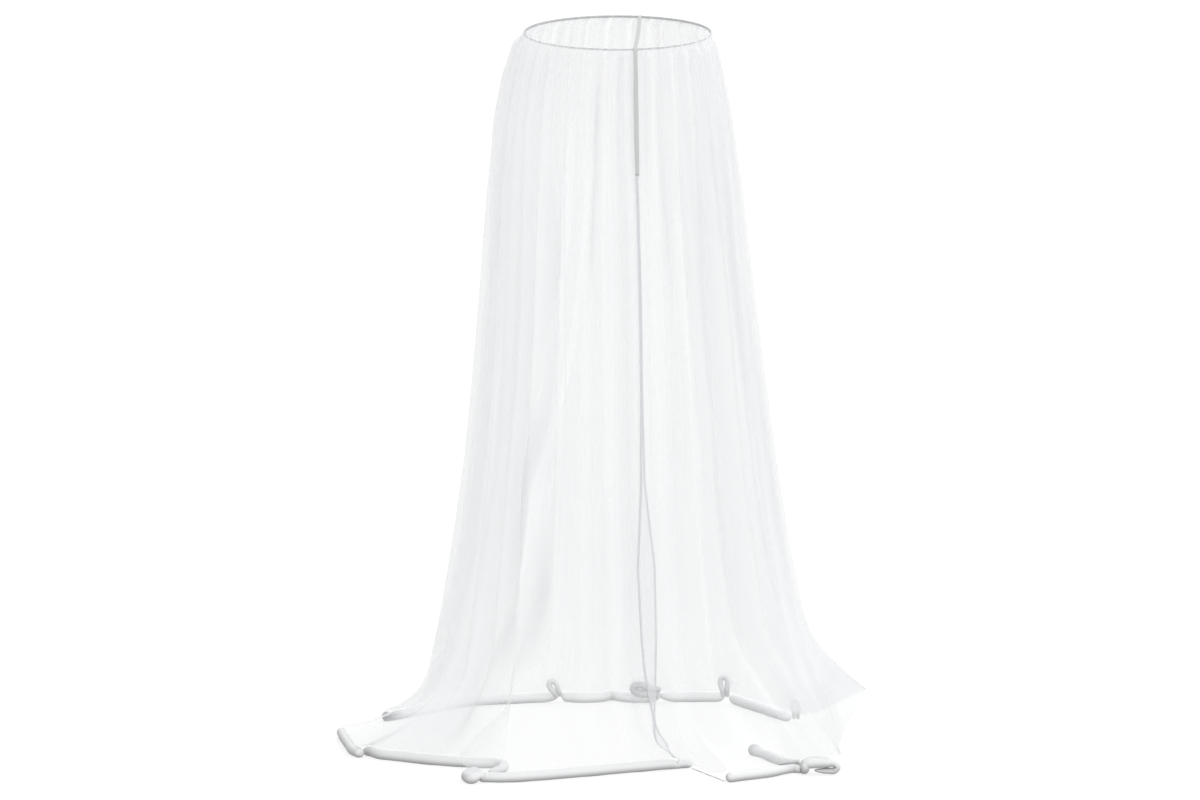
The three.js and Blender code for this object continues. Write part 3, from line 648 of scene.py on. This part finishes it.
def new_piece(name, points, faces, material, uv=None):
    """A smooth-shaded mesh object from points in metres. uv holds one pair for each point."""
    mesh = bpy.data.meshes.new(name)
    mesh.from_pydata(np.reshape(points, (-1, 3)).tolist(), [], faces)
    mesh.update()
    mesh.shade_smooth()
    if uv is not None:
        layer = mesh.uv_layers.new(name="cloth")
        corners = np.zeros(len(mesh.loops), np.int32)
        mesh.loops.foreach_get("vertex_index", corners)
        layer.data.foreach_set("uv", np.reshape(uv, (-1, 2)).astype(np.float32)[corners].ravel())
    piece = bpy.data.objects.new(name, mesh)
    bpy.context.scene.collection.objects.link(piece)
    mesh.materials.append(material)
    return piece


def keep_values(piece, name, values):
    """Keeps one number for each point of a piece, for its material to read."""
    kept = piece.data.attributes.new(name, "FLOAT", "POINT")
    kept.data.foreach_set("value", values.astype(np.float32).ravel())


def grid_faces(rows, columns, wrap=False):
    """Faces of a grid of points kept row by row; with wrap the last column joins the first."""
    last = columns if wrap else columns - 1
    row, column = np.meshgrid(np.arange(rows - 1), np.arange(last), indexing="ij")
    here = row * columns
    below = here + columns
    after = (column + 1) % columns
    corners = [here + column, here + after, below + after, below + column]
    return np.stack(corners, axis=-1).reshape(-1, 4).tolist()


def closed_faces(rows, sides, flip=False):
    """Faces of a row of rings with both ends closed; with flip they face the other way."""
    faces = grid_faces(rows, sides, wrap=True)
    faces.append(list(range(sides))[::-1])
    faces.append([(rows - 1) * sides + corner for corner in range(sides)])
    return [face[::-1] for face in faces] if flip else faces


def band_points(line, across, out, section, width, thickness):
    """Points of a flat band: its cross section at each point of a line."""
    sideways = across[:, None] * section["side"][:, None] * width
    outwards = out[:, None] * section["out"][:, None] * thickness
    return line[:, None] + sideways + outwards


def curve_between(before, start, stop, after, share):
    """Points on a smooth curve from start to stop, which also heeds the points before and after them."""
    steps = np.diff([before, start, stop, after], axis=0)
    first, here, last = np.maximum(np.sqrt(np.linalg.norm(steps, axis=1)), SPLINE["shortest"])
    leave = ((start - before) / first - (stop - before) / (first + here) + (stop - start) / here) * here
    arrive = ((stop - start) / here - (after - start) / (here + last) + (after - stop) / last) * here
    square = 3 * (stop - start) - 2 * leave - arrive
    cube = 2 * (start - stop) + leave + arrive
    return start + leave * share + square * share**2 + cube * share**3


def spline(points, step, sizes=None):
    """Evenly spaced points on a smooth curve through the given ones, their places and eased sizes."""
    points = np.asarray(points, float)
    sizes = np.ones(len(points)) if sizes is None else np.asarray(sizes, float)
    padded = np.vstack([2 * points[0] - points[1], points, 2 * points[-1] - points[-2]])
    share = np.linspace(0, 1, SPLINE["samples"], endpoint=False)
    fours = zip(padded, padded[1:], padded[2:], padded[3:])
    fine = [curve_between(*four, share[:, None]) for four in fours]
    fine = np.vstack([*fine, points[-1:]])
    plump = [mix(first, second, smooth(share)) for first, second in zip(sizes, sizes[1:])]
    plump = np.concatenate([*plump, sizes[-1:]])
    along = run_along(fine)
    count = max(int(round(along[-1] / step)), SPLINE["fewest"])
    places = np.linspace(0, along[-1], count + 1)
    line = np.stack([np.interp(places, along, fine[:, axis]) for axis in range(3)], axis=1)
    return line, places, np.interp(places, along, plump)


def line_frames(line, reference):
    """Tangent, sideways and upward directions along a line of points."""
    tangent = unit(np.gradient(line, axis=0))
    side = unit(np.cross(tangent, reference))
    return tangent, side, np.cross(side, tangent)


def tube(name, node, kind, path, radius, reference, material, bumps, stretch=1.0, gain=1.0):
    """A filled sleeve along a path: round ends, soft bumps, flat where it meets the floor."""
    line, places, plump = path
    tangent, side, up = line_frames(line, reference)
    length = places[-1]
    ends = np.clip(np.minimum(places, length - places) / radius, 0, 1)
    size = radius * plump * np.sqrt(np.clip(1 - END_ROUNDNESS * (1 - ends) ** 2, 0, 1))
    sides = SLEEVE_SIDES[kind]
    angle = full_turn(sides)
    shape = size[:, None] + bumps(places, angle, line, side, up) * smooth(ends * END_BUMPS)[:, None]
    sideways = np.cos(angle)[:, None] * side[:, None]
    upwards = np.sin(angle)[:, None] * up[:, None]
    points = line[:, None] + shape[..., None] * (sideways + stretch * upwards)
    points[..., 2] = np.maximum(points[..., 2], FLOOR_GAP)
    faces = closed_faces(len(line), sides, flip=True)
    piece = new_piece(name, world(points), faces, material, pairs(places[:, None], angle * radius) * MM)
    # Directions that each point faces, for the shade painted into its colour
    round_end = (1 - ends) * np.where(places < length / 2, -1, 1)
    facing = (sideways + upwards) * np.sqrt(1 - round_end**2)[:, None, None]
    facing = facing + (tangent * round_end[:, None])[:, None]
    paint_shade(piece, facing[..., 2], facing[..., 0], points[..., 2], gain)
    return keep(piece, "weight_sleeve", node)


def paint_shade(piece, facing_up, facing_right, height, gain=1.0):
    """Paints shade into a sleeve's colour by how much light each point sees: least underneath, low down and
    at the left, times a gain.
    """
    open_sky = mix(UNDERSIDE["shade"], 1, smooth((facing_up + UNDERSIDE["turned"]) / UNDERSIDE["span"]))
    near_floor = mix(UNDERSIDE["contact"], 1, smooth(height / UNDERSIDE["reach"]))
    shade = open_sky * np.where(facing_up < 0, near_floor, 1)
    shade = gain * shade * (1 - UNDERSIDE["left"] * np.clip(-facing_right, 0, 1) ** 2)
    keep_values(piece, "shade", shade)


def sleeve_bumps(seed):
    """Plumpness, wrinkles on the inside of bends and a faint twist, for one sleeve."""
    phases = np.random.default_rng(seed).uniform(0, 2 * math.pi, BUMP_PHASES)
    *swell_phases, ripple_phase, drift_phase, twist_phase = phases

    def bumps(places, angle, line, side, up):
        swell = 0
        for depth, pitch, phase in zip(SWELLS["depth"], SWELLS["pitch"], swell_phases):
            swell = swell + depth * np.sin(places / pitch + phase)
        bend = np.gradient(np.gradient(line, axis=0), axis=0) / np.gradient(places)[:, None] ** 2
        across = np.sum(bend * side, axis=1)
        upward = np.sum(bend * up, axis=1)
        strength = np.clip(np.hypot(across, upward) * WEIGHT_RADIUS, 0, WRINKLES["most"])
        inward = np.cos(angle - np.arctan2(upward, across)[:, None])
        drift = WRINKLE_DRIFT["swing"] * np.sin(places / WRINKLE_DRIFT["pitch"] + drift_phase)
        ripple = wave(places / WRINKLES["pitch"], ripple_phase + drift) - WRINKLES["level"]
        depth = WRINKLES["depth"] * strength * ripple
        wrinkles = depth[:, None] * np.clip(inward + WRINKLES["inside"], 0, 1)
        twist = np.sin(TWIST["lobes"] * angle + places[:, None] / TWIST["pitch"] + twist_phase)
        return swell[:, None] + wrinkles + TWIST["depth"] * twist

    return bumps


def strand_twist(places, angle, line, side, up):
    """Twisted flutes of the rolled strand."""
    flutes = np.sin(STRAND_TWIST["flutes"] * angle + places[:, None] / STRAND_TWIST["pitch"])
    swell = np.sin(places / STRAND_TWIST["swell_pitch"])[:, None]
    return STRAND_TWIST["depth"] * flutes + STRAND_TWIST["swell"] * swell


# Materials

def new_material(name, colour, roughness):
    """A material with one Principled shader and its main values set on the shader."""
    material = bpy.data.materials.new(name)
    material.use_nodes = True
    shader = material.node_tree.nodes["Principled BSDF"]
    shader.inputs["Base Color"].default_value = (*colour, 1)
    shader.inputs["Roughness"].default_value = roughness
    return material, shader


def add_node(material, kind, **values):
    """A new node with its settings."""
    node = material.node_tree.nodes.new(kind)
    for key, value in values.items():
        setattr(node, key, value)
    return node


def math_node(material, operation, first, second):
    """A Math node whose inputs are numbers or sockets."""
    node = add_node(material, "ShaderNodeMath", operation=operation)
    for socket, value in zip(node.inputs, (first, second)):
        if isinstance(value, (int, float)):
            socket.default_value = value
        else:
            material.node_tree.links.new(value, socket)
    return node.outputs[0]


def thread_height(material, pitch, thread):
    """Crossing threads from the cloth's own coordinates: 1 on a thread and 0 in a gap."""
    coordinates = add_node(material, "ShaderNodeUVMap", uv_map="cloth")
    parts = add_node(material, "ShaderNodeSeparateXYZ")
    material.node_tree.links.new(coordinates.outputs[0], parts.inputs[0])
    lines = []
    for axis in (0, 1):
        count = math_node(material, "MULTIPLY", parts.outputs[axis], 1 / pitch)
        phase = math_node(material, "FRACT", count, 0)
        away = math_node(material, "ABSOLUTE", math_node(material, "SUBTRACT", phase, 0.5), 0)
        lines.append(math_node(material, "LESS_THAN", away, thread / pitch / 2))
    return math_node(material, "MAXIMUM", lines[0], lines[1])


def add_bump(material, shader, height, strength, distance):
    """Makes a shader's surface rise and fall by a height."""
    bump = add_node(material, "ShaderNodeBump")
    bump.inputs["Strength"].default_value = strength
    bump.inputs["Distance"].default_value = distance
    material.node_tree.links.new(height, bump.inputs["Height"])
    material.node_tree.links.new(bump.outputs[0], shader.inputs["Normal"])


def tone_by_noise(material, shader, first, second, scale, shade=None):
    """Colour that drifts softly between two close tones, darkened or lightened by the painted shade kept in
    the named attribute, if one is named.
    """
    noise = add_node(material, "ShaderNodeTexNoise")
    noise.inputs["Scale"].default_value = scale
    noise.inputs["Detail"].default_value = NOISE_DETAIL
    place = add_node(material, "ShaderNodeTexCoord")
    blend = add_node(material, "ShaderNodeMix", data_type="RGBA")
    blend.inputs[MIX["first"]].default_value = (*first, 1)
    blend.inputs[MIX["second"]].default_value = (*second, 1)
    links = material.node_tree.links
    links.new(place.outputs["Object"], noise.inputs["Vector"])
    links.new(noise.outputs["Fac"], blend.inputs[MIX["share"]])
    colour = blend.outputs[MIX["colour"]]
    if shade:
        kept = add_node(material, "ShaderNodeAttribute", attribute_name=shade)
        darker = add_node(material, "ShaderNodeMix", data_type="RGBA", blend_type="MULTIPLY")
        darker.inputs[MIX["share"]].default_value = 1
        links.new(colour, darker.inputs[MIX["first"]])
        links.new(kept.outputs["Color"], darker.inputs[MIX["second"]])
        colour = darker.outputs[MIX["colour"]]
    links.new(colour, shader.inputs["Base Color"])


def netting_material():
    """Sheer white netting: fine crossing threads with open gaps, closer together where it is gathered."""
    material, shader = new_material("netting", colour=(0.86, 0.868, 0.876), roughness=0.85)
    # The netting's colour is multiplied by the painted shade and light kept in the cloth
    tone_by_noise(material, shader, (0.85, 0.86, 0.87), (0.87, 0.876, 0.882), scale=6, shade="shade")
    threads = thread_height(material, pitch=0.0016, thread=0.00026)
    stopped = math_node(material, "MULTIPLY", threads, NET_OPEN["threads"])
    open_share = math_node(material, "SUBTRACT", NET_OPEN["gaps"], stopped)
    layers = add_node(material, "ShaderNodeAttribute", attribute_name="layers")
    through = math_node(material, "POWER", open_share, layers.outputs["Fac"])
    material.node_tree.links.new(math_node(material, "SUBTRACT", 1.0, through), shader.inputs["Alpha"])
    return material


def edge_material():
    """Doubled netting of the front edges, sewn flat."""
    material, shader = new_material("net_edge", colour=(0.75, 0.77, 0.79), roughness=0.85)
    threads = thread_height(material, pitch=0.0009, thread=0.0004)
    tone_by_noise(material, shader, (0.71, 0.73, 0.755), (0.77, 0.79, 0.81), scale=40)
    cover = math_node(material, "MULTIPLY", threads, EDGE_COVER["threads"])
    cover = math_node(material, "ADD", cover, EDGE_COVER["gaps"])
    material.node_tree.links.new(cover, shader.inputs["Alpha"])
    return material


def sleeve_material():
    """Smooth white woven sleeve."""
    material, shader = new_material("sleeve", colour=(0.84, 0.845, 0.85), roughness=0.6)
    # The sleeve's colour is multiplied by the painted shade kept in each sleeve
    tone_by_noise(material, shader, (0.82, 0.826, 0.835), (0.86, 0.865, 0.868), scale=18, shade="shade")
    threads = thread_height(material, pitch=0.0011, thread=0.0007)
    add_bump(material, shader, threads, strength=0.2, distance=0.0002)
    return material


def wire_material():
    """Light grey coated wire with a faint mottle."""
    material, shader = new_material("ring_wire", colour=(0.46, 0.47, 0.48), roughness=0.42)
    shader.inputs["Metallic"].default_value = 0.2
    tone_by_noise(material, shader, (0.42, 0.43, 0.44), (0.5, 0.51, 0.52), scale=60)
    return material


def tape_material():
    """Flat grey woven tape."""
    material, shader = new_material("tape", colour=(0.58, 0.59, 0.59), roughness=0.8)
    tone_by_noise(material, shader, (0.55, 0.56, 0.56), (0.62, 0.63, 0.63), scale=50)
    threads = thread_height(material, pitch=0.0012, thread=0.0007)
    add_bump(material, shader, threads, strength=0.35, distance=0.0003)
    return material


def floor_material():
    """A white floor that glows evenly, so that the netting hardly shades it."""
    material, shader = new_material("pale_floor", colour=(0.25, 0.25, 0.25), roughness=0.95)
    shader.inputs["Specular IOR Level"].default_value = 0.0
    shader.inputs["Emission Color"].default_value = (1, 1, 1, 1)
    shader.inputs["Emission Strength"].default_value = FLOOR_GLOW
    return material


# Pieces

def keep(piece, slot, *nodes):
    """Lets a piece ride on the body and stand for its solids; the slot is not used."""
    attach(piece, "root")
    if nodes:
        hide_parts(*nodes)
    return piece


def make_net(material):
    """The whole netting as one thin sheet, with its top rolled over the ring."""
    level = np.interp(np.arange(NET_ROWS["count"][-1] + 1), NET_ROWS["count"], NET_ROWS["share"])
    share = np.linspace(0, 1, NET_COLUMNS)
    points = net_points(share, level[:, None])
    points = np.vstack([top_roll(points[:1]), points])
    rows, columns = points.shape[:2]
    rolled = np.linspace(*TOP_ROLL_LEVELS, rows - len(level))
    down = np.concatenate([rolled, level])[:, None]
    uv = pairs(share * FLAT_CLOTH[0], down * FLAT_CLOTH[1])
    piece = new_piece("net_cloth", world(points), grid_faces(rows, columns), material, uv)
    # Layers set the netting's sheerness; net_shade gives the painted light and shade of its colour
    for name, values in (("layers", bunching), ("shade", net_shade)):
        keep_values(piece, name, values(share, np.clip(down, 0, 1)))
    return keep(piece, "netting", "net")


def top_roll(first_row):
    """Rows that carry the netting up outside the ring's wire and over it."""
    middle = np.array([RING["x"], RING["y"]])
    away = unit(first_row[..., :2] - middle)
    made = []
    for rise, out in zip(*TOP_ROLL.values()):
        row = np.empty_like(first_row)
        row[..., :2] = middle + away * (RING["radius"] + out)
        row[..., 2] = RING["height"] + rise
        made.append(row)
    return np.vstack(made)


def make_edge(side, end, material):
    """The sewn hem down one front edge: a narrow flat band round the netting's edge."""
    level = np.linspace(0, 1, EDGE_HEM["rows"])
    inward = 1 if end == 0 else -1
    line = net_points(np.full_like(level, end), level)
    beside = net_points(np.full_like(level, end + inward * EDGE_HEM["beside"]), level)
    across = unit(beside - line)
    out = unit(np.cross(np.gradient(line, axis=0), across))
    points = band_points(line, across, out, EDGE_SECTION, EDGE_HEM[side], EDGE_HEM["thickness"] / 2)
    points[..., 2] = np.maximum(points[..., 2], FLOOR_GAP)
    sides = points.shape[1]
    uv = pairs(np.arange(sides) * EDGE_WEAVE, run_along(line)[:, None] * MM)
    piece = new_piece("net_edge_" + side, world(points), closed_faces(len(line), sides), material, uv)
    return keep(piece, "netting")


def make_ring(material):
    """The hoop as a smooth round wire."""
    turn = full_turn(RING["steps"])[:, None]
    around = full_turn(RING["sides"])
    radius = RING["radius"] + RING["wire"] * np.cos(around)
    x = RING["x"] + radius * np.cos(turn)
    y = RING["y"] + radius * np.sin(turn)
    z = RING["height"] + RING["wire"] * np.sin(around) + 0 * x
    faces = grid_faces(RING["steps"] + 1, RING["sides"], wrap=True)
    faces = [[corner % x.size for corner in face[::-1]] for face in faces]
    piece = new_piece("ring_hoop", world(np.stack([x, y, z], axis=-1)), faces, material)
    keep(piece, "ring_wire", "top_ring")


def make_tape(material):
    """The flat draw tape along its route, with a slanting cut end."""
    line, places, _ = spline(TAPE_ROUTE, TAPE["step"])
    tangent = unit(np.gradient(line, axis=0))
    across = unit(RIGHT - tangent * tangent[:, :1])
    out = np.cross(across, tangent)
    half = TAPE["width"] / 2
    points = band_points(line, across, out, TAPE_SECTION, half, TAPE["thickness"] / 2)
    cut = (TAPE_SECTION["side"] - 1) * TAPE["slant"]
    points[-1] = points[-1] + tangent[-1] * cut[:, None]
    faces = closed_faces(len(line), points.shape[1], flip=True)
    uv = pairs(TAPE_SECTION["side"] * half, places[:, None]) * MM
    piece = new_piece("tape_ribbon", world(points), faces, material, uv)
    keep(piece, "tape", "draw_tape")


def tube_path(spots):
    """The middle line of a tube through its spots, standing on the floor or on its lift."""
    sizes = [row["size"] for row in spots]
    centres = [(row["x"], row["y"], row["lift"] + WEIGHT_RISE * row["size"]) for row in spots]
    line, places, plump = spline(centres, SLEEVE_STEP["tube"], sizes)
    line[:, 2] = np.maximum(line[:, 2], WEIGHT_RISE * plump)
    return line, places, plump


def make_weight(name, spots, material, seed):
    """One filled weight tube through its spots, with its own painted light and painted shade at its end if
    it has them.
    """
    path = tube_path(spots)
    gain = INSIDE_PAINTED_LIGHT.get(name, 1.0)
    knob = PAINTED_KNOB_SHADE.get(name)
    if knob:
        gain = mix(knob["gain"], gain, smooth(path[1] / knob["reach"]))[:, None]
    piece = tube("tube_" + name, "weight_" + name, "tube", path, WEIGHT_RADIUS, UP, material,
                 sleeve_bumps(seed), gain=gain)


def make_loop(name, loop, material):
    """A loop of slack sleeve that stands or leans in its own plane between two tubes."""
    heading = math.radians(loop["heading"])
    roll = math.radians(loop["roll"])
    forward = np.array([math.cos(heading), math.sin(heading), 0])
    inward = np.array([-forward[1], forward[0], 0])
    across = forward * math.cos(roll) - UP * math.sin(roll)
    crown = forward * math.sin(roll) + UP * math.cos(roll)
    points = np.array([loop["x"], loop["y"], loop["z"]])
    points = points + LOOP_LINE["side"][:, None] * loop["width"] / 2 * across
    points = points + LOOP_LINE["rise"][:, None] * loop["length"] * crown
    points = points + LOOP_LINE["back"][:, None] * loop["back"] * inward
    path = spline(points, SLEEVE_STEP["loop"])
    tube("slack_" + name, "hem_loop_" + name, "loop", path, loop["radius"], inward, material,
         sleeve_bumps(len(name)), gain=loop["gain"])


def make_strand(material):
    """The thin strand of empty sleeve on the floor between the front tubes."""
    points = [(x, y, STRAND["radius"] + FLOOR_GAP) for x, y in STRAND_LINE]
    path = spline(points, SLEEVE_STEP["strand"])
    tube("slack_strand", "hem_strand", "strand", path, STRAND["radius"], UP, material, strand_twist,
         gain=STRAND["gain"])


def make_corner_fold(material):
    """The flat sleeve folded under itself at the front right corner."""
    points = np.stack([CORNER_FOLD_LINE[axis] for axis in "xyz"], axis=1)
    path = spline(points, SLEEVE_STEP["corner"], CORNER_FOLD_LINE["size"])
    # Painted shade: the sleeve darkens towards its lower run, inside the fold under the upper run
    rise = path[0][:, 2:] / CORNER_FOLD["mouth_top"] - CORNER_FOLD["mouth_foot"]
    gain = mix(CORNER_FOLD["mouth"], 1, smooth(rise))
    tube("slack_corner", "hem_loop_corner", "corner", path, CORNER_FOLD["radius"], BACK, material,
         sleeve_bumps(CORNER_FOLD["seed"]), CORNER_FOLD["stretch"], gain)


def make_collar(material):
    """The bunched sleeve at the front right corner, pleated round its belly."""
    place = COLLAR_OUTLINE["place"][:, None]
    turn = full_turn(COLLAR["sides"])
    drift = COLLAR_PLEATS["drift"] * np.sin(COLLAR_PLEATS["drift_waves"] * turn)
    pleats = 1 - COLLAR_PLEATS["depth"] * (1 + np.sin(COLLAR_PLEATS["count"] * turn + drift))
    size = COLLAR_OUTLINE["size"][:, None] * pleats
    y = COLLAR["y"] + COLLAR["radius"] * size * np.cos(turn)
    z = COLLAR["rise"] + FLOOR_GAP + COLLAR["rise"] * size * np.sin(turn)
    x = COLLAR["x"] + place * COLLAR["length"] / 2 + COLLAR["lean"] * (z - COLLAR["rise"])
    points = np.stack([x, y, z], axis=-1)
    uv = pairs(turn * COLLAR_WEAVE["round"], place * COLLAR_WEAVE["along"])
    piece = new_piece("collar_bunch", world(points), closed_faces(*z.shape), material, uv)
    # Painted shade on the collar: darker underneath and towards its left end
    paint_shade(piece, np.sin(turn), place, z)
    keep(piece, "weight_sleeve", "hem_collar")


# Stage, light and camera

def light_room(tree):
    """White light from all round, a little stronger from the right."""
    place = tree.nodes.new("ShaderNodeTexCoord")
    parts = tree.nodes.new("ShaderNodeSeparateXYZ")
    tree.links.new(place.outputs["Generated"], parts.inputs[0])
    slope = tree.nodes.new("ShaderNodeMapRange")
    for socket, value in ROOM_LIGHT.items():
        slope.inputs[socket].default_value = value
    tree.links.new(parts.outputs[0], slope.inputs["Value"])
    background = tree.nodes["Background"]
    background.inputs["Color"].default_value = (1, 1, 1, 1)
    tree.links.new(slope.outputs[0], background.inputs["Strength"])


def make_stage():
    """A wide pale floor, an even white room and one broad soft light from the right and behind."""
    corners = [(x * FLOOR_REACH, y * FLOOR_REACH, 0) for x, y in ((-1, -1), (1, -1), (1, 1), (-1, 1))]
    new_piece("floor", corners, [[0, 1, 2, 3]], floor_material())
    scene = bpy.context.scene
    scene.world = bpy.data.worlds.new("room")
    scene.world.use_nodes = True
    light_room(scene.world.node_tree)
    lamp = bpy.data.lights.new("soft_sun", "SUN")
    lamp.energy = SUN["strength"]
    lamp.angle = math.radians(SUN["angle"])
    sun = bpy.data.objects.new("soft_sun", lamp)
    sun.rotation_euler = Vector(SUN["from"]).to_track_quat("Z", "Y").to_euler()
    scene.collection.objects.link(sun)


def make_camera():
    """The far camera whose long lens gives the photograph's flat view."""
    scene = bpy.context.scene
    lens = bpy.data.cameras.new("camera")
    lens.sensor_width = SENSOR_WIDTH
    pixels = CAMERA["distance"] / (CAMERA["mm_per_pixel"] * MM)
    lens.lens = pixels * SENSOR_WIDTH / PHOTO_WIDTH
    lens.clip_end = CLIP_END
    camera = bpy.data.objects.new("camera", lens)
    elevation = math.radians(CAMERA["elevation"])
    back = Vector((0, -math.cos(elevation), math.sin(elevation)))
    camera.location = Vector(CAMERA["target"]) + back * CAMERA["distance"]
    camera.rotation_euler = back.to_track_quat("Z", "Y").to_euler()
    scene.collection.objects.link(camera)
    scene.camera = camera
    scene.view_settings.view_transform = "Standard"
    scene.cycles.transparent_max_bounces = SEE_THROUGH_LAYERS


def main():
    """Makes the camera, every piece of the part and the stage."""
    make_camera()
    sleeve = sleeve_material()
    make_tape(tape_material())
    make_ring(wire_material())
    net = make_net(netting_material())
    edge = edge_material()
    edges = [make_edge(side, end, edge) for end, side in enumerate(("left", "right"))]
    names = list(dict.fromkeys(row["tube"] for row in HEM if row["tube"]))
    for seed, name in enumerate(names):
        make_weight(name, [row for row in HEM if row["tube"] == name], sleeve, seed)
    make_weight("folded_back", FOLDED_WEIGHT, sleeve, len(names))
    for name, loop in HEM_LOOPS.items():
        make_loop(name, loop, sleeve)
    make_strand(sleeve)
    make_corner_fold(sleeve)
    make_collar(sleeve)
    make_stage()


main()
